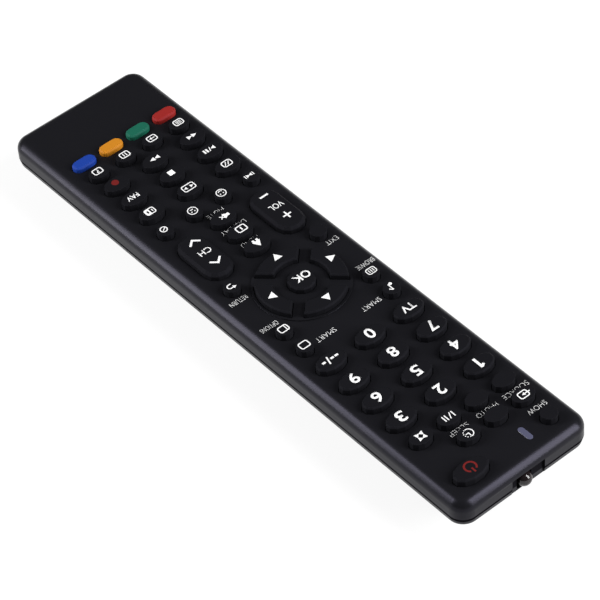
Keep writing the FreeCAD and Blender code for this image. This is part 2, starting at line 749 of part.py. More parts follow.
cut_away("keypad_mat", mat_sheet, joined("wells", wells + [emitter_well]), BOARD_TOP)


# Infrared emitter: a clear lamp with a flange at its foot, its two leads soldered under the board
emitter = document.addObject("PartDesign::Body", "ir_emitter")
lamp = prism(emitter, "Additive", "Lamp", "key_sides", "emitter_diameter / 2", "emitter_length")
bevel(emitter, lamp, top_face, "emitter_diameter / 5")
prism(emitter, "Additive", "Flange", "key_sides", "(emitter_diameter + emitter_gap) / 2", "lead_width")
lead_size = ("lead_width", "lead_width", "(lead_length + lead_width)")
for side in (-1, 1):
    lead_corner = (f"{side} * lead_pitch / 2 - lead_width / 2", "board_thickness / 2", "-lead_length")
    emitter.Tip = block(emitter, "Additive", "Lead", lead_size, lead_corner)
emitter.Placement.Rotation = FreeCAD.Rotation(FreeCAD.Vector(1, 0, 0), -90)
emitter_foot = f"case_length / 2 + emitter_proud - emitter_length + {MIDDLE_Y}"
place(finished(emitter, "ir_emitter"), "emitter_x", emitter_foot, EMITTER_HEIGHT)


# Indicator lens: a light guide flush with the face, held by a flange under the plate
lens = document.addObject("PartDesign::Body", "indicator_lens")
outline_solid(lens, "lens", "(face_thickness + lens_flange)")
flange_size = ("(lens_length + 2 * lens_flange)", "(lens_width + 2 * lens_flange)", "lens_flange")
lens.Tip = centred_block(lens, "Flange", flange_size)
finished(turned(lens, LENS.turn), LENS.name)
place(lens, LENS.x, f"{LENS.y} + {MIDDLE_Y}", f"{PLATE_BOTTOM} - lens_flange")


# Two AAA cells, side by side and turned opposite ways
cells = []
for side in (-1, 1):
    cell = document.addObject("PartDesign::Body", "cell")
    prism(cell, "Additive", "Can", "ring_sides", "cell_diameter / 2", "cell_length - cell_nub")
    cell.Tip = prism(cell, "Additive", "Nub", "key_sides", "cell_nub_diameter / 2", "cell_length")
    cell.Placement.Rotation = FreeCAD.Rotation(FreeCAD.Vector(1, 0, 0), side * 90)
    place(cell, f"{side} * {CELL_X}", f"{side} * cell_length / 2", "0")
    cells.append(cell)
batteries = document.addObject("Part::Compound", "batteries")
batteries.Links = cells
place(finished(batteries, "batteries"), "0", BAY_MIDDLE, CELL_HEIGHT)


# Battery contacts: at each end of each cell a sprung tongue or a flat plate on the bay's wall

def contact(name, side, end, bowed):
    """One contact: a plate, with a tongue bent out of it toward the cell where it is a spring."""
    body = document.addObject("PartDesign::Body", name)
    plate = block(body, "Additive", "Plate", ("contact_size", "contact_sheet", "contact_size"),
                  ("-contact_size / 2", "0", "-contact_size / 2"))
    if bowed:
        block(body, "Additive", "Neck", ("contact_size / 2", "leaf_bow", "contact_sheet"),
              ("-contact_size / 4", "0", "-contact_sheet / 2"))
        plate = block(body, "Additive", "Pad", ("contact_size / 2", "contact_sheet", "contact_size / 2"),
                      ("-contact_size / 4", "leaf_bow - contact_sheet", "-contact_size / 4"))
    body.Tip = plate
    body.Placement.Rotation = FreeCAD.Rotation(FreeCAD.Vector(0, 0, 1), 0 if end < 0 else 180)
    place(body, f"{side} * {CELL_X}", f"{end} * ({BAY_LENGTH} / 2)", "0")
    return body


ends = [(side, end) for side in (-1, 1) for end in (-1, 1)]
contacts = [contact(f"contact_{number}", side, end, side == end) for number, (side, end) in enumerate(ends)]
terminals = document.addObject("Part::Compound", "battery_contacts")
terminals.Links = contacts
place(finished(terminals, "battery_contacts"), "0", BAY_MIDDLE, CELL_HEIGHT)


# Check the model, then write one file for each sub-part
document.recompute()
for thing in document.Objects:
    if {"Invalid", "Error"} & set(thing.State):
        raise RuntimeError(f"{thing.Name} ({thing.Label}) did not build: {thing.State}")
for sub_part in sub_parts:
    if sub_part.Shape.isNull() or not sub_part.Shape.isValid() or not sub_part.Shape.Solids:
        raise RuntimeError(f"{sub_part.Label} has no valid solid")

os.makedirs("parts", exist_ok=True)
for sub_part in sub_parts:
    sub_part.Shape.exportStep(f"parts/{sub_part.Label}.step")
print(len(sub_parts), "sub-parts written")
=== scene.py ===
"""A hand-held infrared remote control for a television, dressed for a product photograph.

Every CAD node but the infrared emitter stays, most of them with softened edges, and gets the material
that it is made of.  What is added is the emitter's lamp, and what is printed on the keys and on the face.
Metres, in the frame of the CAD: +Z up, +Y toward the emitter end.
"""
import math

import bmesh
import bpy
from mathutils import Matrix, Vector


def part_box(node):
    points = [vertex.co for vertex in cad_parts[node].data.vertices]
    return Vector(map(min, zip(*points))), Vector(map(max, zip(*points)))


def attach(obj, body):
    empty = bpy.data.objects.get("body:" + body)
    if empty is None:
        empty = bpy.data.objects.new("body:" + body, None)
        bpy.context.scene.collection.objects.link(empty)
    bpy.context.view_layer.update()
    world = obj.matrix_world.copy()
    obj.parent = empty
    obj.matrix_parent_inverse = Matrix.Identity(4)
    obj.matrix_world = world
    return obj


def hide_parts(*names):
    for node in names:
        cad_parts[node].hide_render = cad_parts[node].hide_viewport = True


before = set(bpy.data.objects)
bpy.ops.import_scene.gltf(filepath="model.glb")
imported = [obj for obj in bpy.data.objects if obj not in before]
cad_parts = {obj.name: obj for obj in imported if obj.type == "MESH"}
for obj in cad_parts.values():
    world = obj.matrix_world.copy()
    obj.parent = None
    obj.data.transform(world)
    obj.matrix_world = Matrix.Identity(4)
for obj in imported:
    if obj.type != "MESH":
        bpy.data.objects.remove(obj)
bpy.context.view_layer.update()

MM = 0.001


# Case halves and battery door.
# Injection-moulded black ABS.  The keypad face comes from a spark-eroded tool and is satin, the rounded
# shoulder and the walls are smoother, and the two halves snap together at a thin open seam.
# The shade in that seam, and on the strip in the notch beside the lamp, is painted near black.

def paint(hex_code):
    """An sRGB colour, as the linear values that a shader takes."""
    channels = [int(hex_code[place:place + 2], 16) / 255 for place in (1, 3, 5)]
    return tuple(c / 12.92 if c <= 0.04045 else ((c + 0.055) / 1.055) ** 2.4 for c in channels) + (1.0,)


def add(material, kind, settings=None, links=None):
    """Add one node, with its properties or socket values and what feeds its sockets."""
    tree = material.node_tree
    node = tree.nodes.new(kind)
    for name, setting in (settings or {}).items():
        if isinstance(name, str) and hasattr(node, name):
            setattr(node, name, setting)
        else:
            node.inputs[name].default_value = setting
    for name, (source, output) in (links or {}).items():
        tree.links.new(source.outputs[output], node.inputs[name])
    return node


def empty_material(name):
    """A material with nothing in it but what is added."""
    material = bpy.data.materials.new(name)
    material.use_nodes = True
    material.node_tree.nodes.clear()
    return material


def tinted(material, colour, pattern, low, high):
    """One colour, made darker and lighter by a pattern."""
    spread = add(material, "ShaderNodeMapRange", {"To Min": low, "To Max": high},
                 {"Value": (pattern, "Fac")})
    return add(material, "ShaderNodeMix",
               {"data_type": "RGBA", "blend_type": "MULTIPLY", 0: 1.0, 6: paint(colour)},
               {7: (spread, "Result")})


def inside(material, spot, low, high):
    """A mask: 1 in a box of the part, 0 outside it."""
    offset = add(material, "ShaderNodeVectorMath", {"operation": "SUBTRACT", 1: (low + high) / 2},
                 {0: (spot, "Object")})
    reach = add(material, "ShaderNodeVectorMath", {"operation": "ABSOLUTE"}, {0: (offset, 0)})
    room = add(material, "ShaderNodeVectorMath", {"operation": "SUBTRACT", 0: (high - low) / 2},
               {1: (reach, 0)})
    sides = add(material, "ShaderNodeSeparateXYZ", {}, {0: (room, 0)})
    least = add(material, "ShaderNodeMath", {"operation": "MINIMUM"}, {0: (sides, 0), 1: (sides, 1)})
    least = add(material, "ShaderNodeMath", {"operation": "MINIMUM"}, {0: (least, 0), 1: (sides, 2)})
    return add(material, "ShaderNodeMath", {"operation": "GREATER_THAN", 1: 0.0}, {0: (least, 0)})


FACE_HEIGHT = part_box("indicator_lens")[1].z            # the indicator lens is flush with the face
SHOULDER_TOP = FACE_HEIGHT - 0.6 * MM                  # where the finish of the face starts to fade
HAND_PATCH = 18 * MM                                   # size of the patches that handling has rubbed
WEAR = 0.04                                            # and how much rougher or smoother they are
# Near black painted as shade in the seam's groove and on the strip in the notch
PAINTED_SHADE = "#040405"
VIOLET_CAST = "#e4e0ff"


def moulded(name, colour, roughness, shine, grain, relief, painted_shade_zones=()):
    """Moulded plastic: one colour all through, and a fine even grain from the steel of the tool.

    Roughness is given for the walls and for the face above them; handling wears both a little unevenly.
    The reflections have a faint violet cast.  Zones of painted shade are boxes of the part in which the
    plastic is made fully rough and painted near black, for the shade in a groove or a recess.
    """
    material = empty_material(name)
    spot = add(material, "ShaderNodeTexCoord")
    grit = add(material, "ShaderNodeTexNoise", {"Scale": 1 / grain, "Detail": 2.0},
               {"Vector": (spot, "Object")})
    smudge = add(material, "ShaderNodeTexNoise",
                 {"Scale": 1 / HAND_PATCH, "Detail": 3.0, "Roughness": 0.6},
                 {"Vector": (spot, "Object")})
    height = add(material, "ShaderNodeSeparateXYZ", {}, {"Vector": (spot, "Object")})
    finish = add(material, "ShaderNodeMapRange",
                 {"From Min": SHOULDER_TOP, "From Max": FACE_HEIGHT,
                  "To Min": roughness[0], "To Max": roughness[1]}, {"Value": (height, "Z")})
    worn = add(material, "ShaderNodeMapRange", {"To Min": -WEAR, "To Max": WEAR},
               {"Value": (smudge, "Fac")})
    gloss = add(material, "ShaderNodeMath", {"operation": "ADD"},
                {0: (finish, "Result"), 1: (worn, "Result")})
    shade = tinted(material, colour, grit, low=0.85, high=1.15)
    # Painted shade: in each zone the plastic is made fully rough and its colour is turned near black
    for low, high in painted_shade_zones:
        shade_mask = inside(material, spot, low, high)
        gloss = add(material, "ShaderNodeMath", {"operation": "MAXIMUM"}, {0: (gloss, 0), 1: (shade_mask, 0)})
        shade = add(material, "ShaderNodeMix", {"data_type": "RGBA", 7: paint(PAINTED_SHADE)},
                    {0: (shade_mask, 0), 6: (shade, 2)})
    bumps = add(material, "ShaderNodeBump", {"Strength": 1.0, "Distance": relief},
                {"Height": (grit, "Fac")})
    skin = add(material, "ShaderNodeBsdfPrincipled",
               {"IOR": 1.5, "Specular IOR Level": shine, "Specular Tint": paint(VIOLET_CAST)},
               {"Base Color": (shade, 2), "Roughness": (gloss, 0), "Normal": (bumps, "Normal")})
    add(material, "ShaderNodeOutputMaterial", {}, {"Surface": (skin, "BSDF")})
    return material


def dress(node_names, material):
    """Give CAD nodes their material."""
    for name in node_names:
        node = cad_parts[name]
        node.data.materials.clear()
        node.data.materials.append(material)


WELD_REACH = 0.001 * MM
FLAT = math.radians(0.5)                # triangles that meet at less than this are one flat face
EDGE = math.radians(25)                 # faces that meet at more than this meet at an edge


def soften(node_names, width, segments=3):
    """Round the edges of CAD nodes, whose mesh is loose triangles until it is welded."""
    for name in node_names:
        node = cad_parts[name]
        weld = node.modifiers.new("weld", "WELD")
        weld.merge_threshold = WELD_REACH
        flats = node.modifiers.new("flats", "DECIMATE")
        flats.decimate_type = "DISSOLVE"
        flats.angle_limit = FLAT
        edge = node.modifiers.new("edge", "BEVEL")
        edge.width = width
        edge.segments = segments
        edge.limit_method = "ANGLE"
        edge.angle_limit = EDGE


case_low, case_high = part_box("top_case")
lamp_low, lamp_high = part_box("ir_emitter")
lamp_x = (lamp_low.x + lamp_high.x) / 2
# A band round the seam, painted near black as painted shade in the groove between the halves
SEAM_BELOW, SEAM_ABOVE = 0.75 * MM, 0.3 * MM           # from the lower edge of the top case
seam = (Vector((case_low.x - MM, case_low.y - MM, case_low.z - SEAM_BELOW)),
        Vector((case_high.x + MM, case_high.y + MM, case_low.z + SEAM_ABOVE)))
# The notch beside the lamp is closed by a strip of the bottom case, which stands back from the end wall.
# This box paints that strip near black, as painted shade.
NOTCH_HALF_WIDTH = 7.6 * MM
STRIP_FRONT, STRIP_BACK = 0.4 * MM, 2 * MM             # behind the end wall
STRIP_BELOW, STRIP_ABOVE = 0.55 * MM, 3.4 * MM         # from the lower edge of the top case
notch = (Vector((lamp_x - NOTCH_HALF_WIDTH, case_high.y - STRIP_BACK, case_low.z - STRIP_BELOW)),
         Vector((lamp_x + NOTCH_HALF_WIDTH, case_high.y - STRIP_FRONT, case_low.z + STRIP_ABOVE)))
CASE_GRAIN = 0.3 * MM                                  # coarser than the real one, so that it shows
CASE_RELIEF = 0.008 * MM
# The seam band and the strip in the notch get painted shade
case_plastic = moulded("black_abs_spark_eroded", "#17171a", roughness=(0.3, 0.36), shine=0.16,
                       grain=CASE_GRAIN, relief=CASE_RELIEF, painted_shade_zones=(seam, notch))
dress(["top_case", "bottom_case", "battery_door"], case_plastic)
soften(["top_case"], width=0.22 * MM, segments=1)
soften(["bottom_case", "battery_door"], width=0.05 * MM, segments=2)


# Key caps.
# Satin black caps, each moulded with its skirt and held under the face plate, with softly rounded edges.
# The four colour keys are moulded from coloured plastic.

SATIN = (0.65, 0.65)
KEY_GRAIN = 0.25 * MM                   # also coarser than the real one
KEY_RELIEF = 0.004 * MM
key_plastic = moulded("black_keycap_satin", "#161619", SATIN, shine=0.05, grain=KEY_GRAIN,
                      relief=KEY_RELIEF)
COLOUR_KEYS = {"key_red": "#92241f", "key_green": "#17604c", "key_yellow": "#c47e1b",
               "key_blue": "#193c96"}
key_names = [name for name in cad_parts
             if name.startswith("key_") or name.endswith(("_keys", "_rocker"))]
dress([name for name in key_names if name not in COLOUR_KEYS], key_plastic)
for name, colour in COLOUR_KEYS.items():
    dress([name], moulded(f"{name}_plastic", colour, SATIN, shine=0.2, grain=KEY_GRAIN,
                          relief=KEY_RELIEF))
soften(key_names, width=0.16 * MM)


# Signs on the keys.
# Most keys carry a sign in white or red ink, printed on the cap through a screen and baked.  The ink
# stands up from the cap as a thin film with a clean edge and a dull shine.

def bar(ink, x, y, width, height, turn=0):
    """A straight stroke."""
    spot = Matrix.Translation((x, y, 0)) @ Matrix.Rotation(math.radians(turn), 4, "Z")
    bmesh.ops.create_grid(ink, x_segments=1, y_segments=1, size=0.5,
                          matrix=spot @ Matrix.Diagonal((width, height, 1, 1)))


def disc(ink, x, y, radius):
    """A filled round."""
    bmesh.ops.create_circle(ink, cap_ends=True, radius=radius, segments=24,
                            matrix=Matrix.Translation((x, y, 0)))


def arrowhead(ink, x, y, radius, turn=0, stretch=1):
    """A filled triangle, which points up until it is turned, and can be stretched the way it points."""
    spot = Matrix.Translation((x, y, 0)) @ Matrix.Rotation(math.radians(turn), 4, "Z")
    bmesh.ops.create_circle(ink, cap_ends=True, radius=radius, segments=3,
                            matrix=spot @ Matrix.Diagonal((1, stretch, 1, 1)))


FULL_TURN = 360
ARC_STEP = 15                   # degrees of a curved stroke to each of its faces


def arc(ink, x, y, radius, thickness, start=0, sweep=FULL_TURN):
    """A curved stroke: a short edge across the stroke, spun round the middle."""
    middle = Vector((x, y, 0))
    across = Vector((math.cos(math.radians(start)), math.sin(math.radians(start)), 0))
    ends = [ink.verts.new(middle + across * (radius + side * thickness / 2)) for side in (-1, 1)]
    bmesh.ops.spin(ink, geom=[*ends, ink.edges.new(ends)], cent=middle, axis=(0, 0, 1),
                   angle=math.radians(sweep), steps=round(sweep / ARC_STEP),
                   use_merge=sweep == FULL_TURN)


def outline(ink, x, y, width, height, thickness=0.4, corner=0.8):
    """A rectangle drawn with round corners."""
    for side in (-1, 1):
        bar(ink, x, y + side * (height - thickness) / 2, width - 2 * corner, thickness)
        bar(ink, x + side * (width - thickness) / 2, y, thickness, height - 2 * corner)
    for quarter, (side, end) in enumerate([(1, 1), (-1, 1), (-1, -1), (1, -1)]):
        arc(ink, x + side * (width / 2 - corner), y + end * (height / 2 - corner),
            corner - thickness / 2, thickness, start=90 * quarter, sweep=90)


def words(ink, text, x, y, width, height, weight=0.02):
    """Letters or digits, stretched to the size at which they are printed.

    The weight is how far their outlines are moved out, as a share of the size of the type.
    """
    letters = bpy.data.curves.new("letters", "FONT")
    letters.body = text
    letters.offset = weight
    letters.resolution_u = 4
    holder = bpy.data.objects.new("letters", letters)
    flat = bpy.data.meshes.new_from_object(holder)
    xs = [corner.co.x for corner in flat.vertices]
    ys = [corner.co.y for corner in flat.vertices]
    centre = Matrix.Translation((-(min(xs) + max(xs)) / 2, -(min(ys) + max(ys)) / 2, 0))
    fit = Matrix.Diagonal((width / (max(xs) - min(xs)), height / (max(ys) - min(ys)), 1, 1))
    flat.transform(Matrix.Translation((x, y, 0)) @ fit @ centre)
    ink.from_mesh(flat)
    bpy.data.meshes.remove(flat)
    bpy.data.objects.remove(holder)
    bpy.data.curves.remove(letters)


FILM = 0.02                     # how high the ink stands, and how deep it is set, in millimetres
LAP = 0.002                     # how much higher each next stroke lies, so that two can cross
TOUCHING = 0.0001               # corners of one stroke that are this near are the same corner


def screen_print(name, strokes, spot, body, ink_material):
    """Print strokes, given in millimetres, as a film of ink on the surface at a spot."""
    ink = bmesh.new()
    for layer, (stroke, *sizes) in enumerate(strokes):
        laid = len(ink.verts)
        stroke(ink, *sizes)
        ink.verts.ensure_lookup_table()
        bmesh.ops.translate(ink, vec=(0, 0, LAP * layer), verts=ink.verts[laid:])
    bmesh.ops.remove_doubles(ink, verts=ink.verts, dist=TOUCHING)
    bmesh.ops.recalc_face_normals(ink, faces=ink.faces)
    for face in ink.faces:
        if face.normal.z < 0:
            face.normal_flip()
    bmesh.ops.solidify(ink, geom=ink.faces[:], thickness=2 * FILM)
    bmesh.ops.translate(ink, vec=(0, 0, FILM), verts=ink.verts)
    bmesh.ops.scale(ink, vec=(MM, MM, MM), verts=ink.verts)
    bmesh.ops.translate(ink, vec=spot, verts=ink.verts)
    mesh = bpy.data.meshes.new(name)
    ink.to_mesh(mesh)
    ink.free()
    mesh.materials.append(ink_material)
    piece = bpy.data.objects.new(name, mesh)
    bpy.context.scene.collection.objects.link(piece)
    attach(piece, body)


INK_SPECK = 0.2 * MM            # coarser than the screen's real threads, so that it shows


def baked_ink(name, colour):
    """Two-part screen ink: a dull film, a little darker in specks where the screen let less through."""
    material = empty_material(name)
    spot = add(material, "ShaderNodeTexCoord")
    specks = add(material, "ShaderNodeTexNoise", {"Scale": 1 / INK_SPECK, "Detail": 1.0},
                 {"Vector": (spot, "Object")})
    shade = tinted(material, colour, specks, low=0.92, high=1.04)
    skin = add(material, "ShaderNodeBsdfPrincipled",
               {"Roughness": 0.55, "IOR": 1.45, "Specular IOR Level": 0.15},
               {"Base Color": (shade, 2)})
    add(material, "ShaderNodeOutputMaterial", {}, {"Surface": (skin, "BSDF")})
    return material


white_ink = baked_ink("white_screen_ink", "#fafafa")
red_ink = baked_ink("red_screen_ink", "#70201f")

# Each stroke has its place from the middle of its key and then its sizes, in millimetres, and a turn in
# degrees.  Most signs sit a little low on their caps.
DIGIT = (2.85, 4.15)
BACKWARD = (0.95, 90, 1.22)             # one of the two triangles of a winding sign, pointing left
FORWARD = (0.95, -90, 1.22)
LIGHT = 0.005                           # weight of the letters on the rockers
SIGNS = {
    "key_source": [(outline, 0.1, 0.1, 3.5, 2.8, 0.35), (bar, -1.4, 0.1, 1.8, 0.35),
                   (arrowhead, -0.1, 0.1, 0.7, -90)],
    "key_sleep": [(arc, 0.1, 0.1, 1.5, 0.3, 90, 180), (bar, 0.1, 0.7, 0.3, 1.3),
                  (bar, 0.55, 0.1, 1.1, 0.3),
                  *[(disc, 0.1 + 1.5 * math.cos(turn), 0.1 + 1.5 * math.sin(turn), 0.17)
                    for turn in (-1.3, -0.75, -0.25, 0.25, 0.75, 1.3)]],
    "key_sound": [*[(bar, x, -0.2, 0.35, 2.2) for x in (-1.75, 0.75, 1.65)],
                  (bar, -0.6, -0.2, 0.3, 2.4, -25)],
    "key_format": [(arrowhead, side * 0.8, end * 0.8 - 0.12, 0.92, turn)
                   for side, end, turn in ((1, 1, -45), (-1, 1, 45), (-1, -1, 135), (1, -1, -135))],
    "key_1": [(bar, 0.3, -0.17, 0.85, 4.15), (bar, -0.3, 1.35, 1.4, 0.8, 35)],
    **{f"key_{digit}": [(words, str(digit), 0, -0.17, *DIGIT)] for digit in (0, 2, 3, 4, 5, 6, 7, 8, 9)},
    "key_tv": [(words, "TV", 0, -0.23, 4.7, 2.8)],
    "key_dash": [*[(bar, x, -0.4, 1.2, 0.7) for x in (-2.3, -0.7, 2.4)],
                 (bar, 0.8, -0.28, 0.45, 3.0, -15)],
    "key_music": [(disc, -0.75, -1.45, 0.55), (bar, 0, -0.3, 0.35, 2.7),
                  (bar, 0.55, 0.5, 1.2, 0.35, -50)],
    "key_square": [(outline, -0.1, -0.3, 3.5, 2.8, 0.35)],
    "key_browse": [(outline, -0.3, -0.15, 3.4, 2.6, 0.3),
                   *[(bar, -0.3 + x, -0.15, 0.25, 1.3) for x in (-0.75, 0, 0.75)]],
    "key_options": [(outline, 0.15, -0.1, 3.5, 2.7, 0.35), (bar, -0.6, -0.1, 0.3, 2.2)],
    "key_ok": [(words, "OK", -0.75, -0.7, 5.8, 3.0)],
    "key_return": [(arc, 0.65, -0.15, 0.8, 0.35, -90, 180), (bar, 0.3, 0.65, 1.0, 0.35),
                   (bar, 0.25, -0.95, 1.1, 0.35), (arrowhead, -0.55, 0.65, 0.75, 90)],
    "volume_rocker": [(bar, -0.4, 4.2, 3.0, 0.52), (bar, -0.4, 4.2, 0.52, 3.1),
                      (words, "VOL", -0.4, -1.0, 4.8, 2.3, LIGHT), (bar, -0.4, -6.85, 3.1, 0.65)],
    "channel_rocker": [*[(bar, -0.75 + side * 0.87, y, 2.95, 0.68, turn * side)
                         for side in (-1, 1) for y, turn in ((4.65, -42), (-6.45, 42))],
                       (words, "CH", -0.7, -0.9, 4.3, 2.3, LIGHT)],
    "key_home": [(arrowhead, -0.35, -0.15, 1.65),
                 *[(bar, -0.35 + side * 0.7, -1.35, 0.75, 0.95) for side in (-1, 1)]],
    "key_display": [(outline, -0.7, -0.25, 3.7, 2.9), (bar, -0.7, -0.25, 0.45, 1.3)],
    "key_mute": [(bar, -1.8, 0.1, 0.8, 1.1), (arrowhead, -0.85, 0.1, 1.35, 90),
                 *[(bar, 0.45, 0.1, 1.9, 0.3, turn) for turn in (45, -45)]],
    "key_picture": [(outline, -0.1, -0.5, 3.7, 2.8, 0.35, 1.0),
                    *[(bar, x, -0.5, 0.28, 1.9, -35) for x in (-0.65, 0.45)]],
    "key_wide": [(outline, 0.1, -0.5, 4.6, 3.0, 0.35),
                 *[(arrowhead, 0.1 + side * 1.0, -0.5, 0.75, -90 * side) for side in (-1, 1)]],
    "key_index": [(outline, 0.3, -0.5, 3.6, 2.8, 0.35), (bar, 0.55, -0.5, 0.5, 2.4),
                  (bar, 1.65, -0.5, 0.5, 2.2), *[(bar, 1.1, y, 0.7, 0.6) for y in (0.4, -1.4)],
                  (bar, -0.55, -0.5, 0.3, 1.0)],
    "key_play": [(arrowhead, -1.7, -0.47, 0.95, -90), (bar, -0.35, -0.47, 0.28, 1.9, -20),
                 *[(bar, x, -0.47, 0.6, 1.65) for x in (0.75, 1.75)]],
    "key_stop": [(bar, 0, -0.6, 2.05, 2.05)],
    "key_favourite": [(words, "FAV", 0.2, -0.48, 4.3, 1.9)],
    "key_rewind": [(arrowhead, x, -0.47, *BACKWARD) for x in (-0.7, 1.05)],
    "key_forward": [(arrowhead, x, -0.53, *FORWARD) for x in (-1.45, 0.3)],
}
RED_SIGNS = {
    "key_power": [(arc, -0.2, -0.45, 1.8, 0.6, 125, 290), (bar, -0.2, 1.0, 0.55, 1.8)],
    "key_record": [(disc, 0.2, -0.65, 1.2)],
}


def top_middle(node_name):
    """The middle of a node's top."""
    low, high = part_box(node_name)
    return Vector(((low.x + high.x) / 2, (low.y + high.y) / 2, high.z))


for signs, ink_material in ((SIGNS, white_ink), (RED_SIGNS, red_ink)):
    for key, strokes in signs.items():
        screen_print(f"sign_{key}", strokes, top_middle(key), key, ink_material)

# One triangle on each arrow key, placed from the middle of the OK key
ARROW_RADIUS = 1.72
ARROWS = {
    # turn, place
    "key_up": (0, -0.6, 10.8),
    "key_left": (90, -12.0, -0.6),
    "key_down": (180, -0.6, -12.0),
    "key_right": (-90, 10.7, -0.6),
}
for key, (turn, x, y) in ARROWS.items():
    screen_print(f"sign_{key}", [(arrowhead, x, y, ARROW_RADIUS, turn)], top_middle("key_ok"), key,
                 white_ink)

# The row of four small round keys is one node, and so is the row of four text keys: their pitch, and the
# sign on each from left to right
BOXED = (3.5, 2.7, 0.35)
ROUND_FACE = [(arc, 0.15, -0.55, 1.55, 0.3), (disc, -0.4, -0.15, 0.22), (disc, 0.7, -0.15, 0.22)]
GROUP_SIGNS = {
    "shortcut_keys": (11.267, [
        [(arrowhead, -0.35, -0.5, 0.8, -90), (arrowhead, 0.9, -0.5, 0.8, 90),
         *[(bar, x, -0.5, 0.3, 1.4) for x in (-1.25, 1.8)]],
        [*ROUND_FACE, (arc, 0.15, -0.65, 0.8, 0.28, 210, 120)],
        [*ROUND_FACE, (arc, 0.15, -1.75, 0.75, 0.28, 45, 90)],
        [(arc, 0.3, -0.4, 1.1, 0.33), (bar, 0.1, -0.45, 2.0, 0.28, 35)],
    ]),
    "text_keys": (10.6, [
        [(outline, -0.15, -0.35, *BOXED),
         *[(bar, -0.15, -0.35 + y, 1.9, 0.22) for y in (-0.5, 0, 0.5)]],
        [(outline, -0.15, -0.4, *BOXED), (bar, -0.75, -0.4, 0.9, 0.3),
         (arrowhead, 0.2, -0.4, 0.65, -90)],
        [(outline, 0, -0.5, *BOXED), *[(bar, x, -0.5, 0.3, 1.5) for x in (-0.45, 0.45)]],
        [(outline, 0.1, -0.5, *BOXED), (words, "?", 0.1, -0.5, 0.9, 1.6, 0)],
    ]),
}
for group, (pitch, signs) in GROUP_SIGNS.items():
    for place, strokes in enumerate(signs):
        along = (place - (len(signs) - 1) / 2) * pitch * MM
        screen_print(f"sign_{group}_{place + 1}", strokes, top_middle(group) + Vector((along, 0, 0)),
                     group, white_ink)


# Words on the face.
# The names of the keys that a sign alone doesn't explain, in thin capitals that fit between the keys.
# They are printed on the face of the top case in the same white ink.

WORDS = [
    # word, place from the middle of the case, width
    ("SHOW", -16.5, 91.5, 6.8),
    ("SOURCE", -16.7, 82.45, 9.4),
    ("PHOTO", -5.6, 82.45, 7.6),
    ("SLEEP", 5.2, 82.45, 6.9),
    ("SMART", -9.4, 28.2, 7.2),
    ("SMART", 8.35, 28.3, 7.2),
    ("BROWSE", -19.2, 14.3, 6.6),
    ("OPTIONS", 18.3, 14.3, 6.2),
    ("EXIT", -18.45, -0.15, 4.4),
    ("RETURN", 18.1, -0.2, 6.2),
    ("MENU", -0.4, -17.05, 6.3),
    ("DISPLAY", -0.55, -25.1, 9.2),
    ("MUTE", -0.5, -33.75, 6.2),
]
WORD_HEIGHT = 1.8
THIN = -0.018                   # weight of these letters
face_middle = Vector(((case_low.x + case_high.x) / 2, (case_low.y + case_high.y) / 2, FACE_HEIGHT))
for number, (word, x, y, width) in enumerate(WORDS, start=1):
    screen_print(f"word_{number}", [(words, word, x, y, width, WORD_HEIGHT, THIN)], face_middle,
                 "case", white_ink)


# Indicator lens.
# A light guide of smoked polycarbonate, polished flush with the face, that glows when a key is pressed.

FLOW_PATCH = 2 * MM
RIPPLE = 0.002 * MM


def clear_plastic(name, colour, roughness, transmission, ior, shine=0.5):
    """A clear or smoked moulding, faintly rippled and uneven in gloss where the melt flowed."""
    material = empty_material(name)
    spot = add(material, "ShaderNodeTexCoord")
    flow = add(material, "ShaderNodeTexNoise", {"Scale": 1 / FLOW_PATCH, "Detail": 2.0},
               {"Vector": (spot, "Object")})
    gloss = add(material, "ShaderNodeMapRange", {"To Min": roughness * 0.6, "To Max": roughness * 1.4},
                {"Value": (flow, "Fac")})
    ripple = add(material, "ShaderNodeBump", {"Strength": 1.0, "Distance": RIPPLE},
                 {"Height": (flow, "Fac")})
    skin = add(material, "ShaderNodeBsdfPrincipled",
               {"Base Color": paint(colour), "IOR": ior, "Transmission Weight": transmission,
                "Specular IOR Level": shine},
               {"Roughness": (gloss, "Result"), "Normal": (ripple, "Normal")})
    add(material, "ShaderNodeOutputMaterial", {}, {"Surface": (skin, "BSDF")})
    return material


dress(["indicator_lens"], clear_plastic("smoked_polycarbonate", "#52536a", roughness=0.2,
                                        transmission=0.0, ior=1.58))
soften(["indicator_lens"], width=0.1 * MM)


# Infrared emitter.
# A lamp cast from smoked epoxy: a straight barrel with a flange at its foot and a dome that stands out
# of the end wall.  Its two legs are tinned steel wire and run straight back from the flange.

LAMP_RADIUS = 2.5 * MM
LAMP_LENGTH = 7.4 * MM
LAMP_SIDES = 48
FLANGE_RADIUS = 2.65 * MM
FLANGE_THICKNESS = 0.5 * MM
SHORTER = 0.6 * MM                      # than the CAD's lamp, as the photo shows it
lamp_z = (lamp_low.z + lamp_high.z) / 2
lamp_tip = lamp_high.y - SHORTER
lamp_foot = lamp_tip - LAMP_LENGTH


def lathe(profile, sides):
    """Turn a profile of (place along Y, radius) round the lamp's own axis."""
    solid = bmesh.new()
    corners = [solid.verts.new((lamp_x + radius, along, lamp_z)) for along, radius in profile]
    edges = [solid.edges.new(pair) for pair in zip(corners, corners[1:])]
    bmesh.ops.spin(solid, geom=[*corners, *edges], cent=(lamp_x, 0, lamp_z), axis=(0, 1, 0),
                   angle=math.tau, steps=sides, use_merge=True)
    bmesh.ops.remove_doubles(solid, verts=solid.verts, dist=WELD_REACH)
    bmesh.ops.recalc_face_normals(solid, faces=solid.faces)
    return solid


SMOOTH = math.radians(40)               # faces that meet at less than this are shaded as one


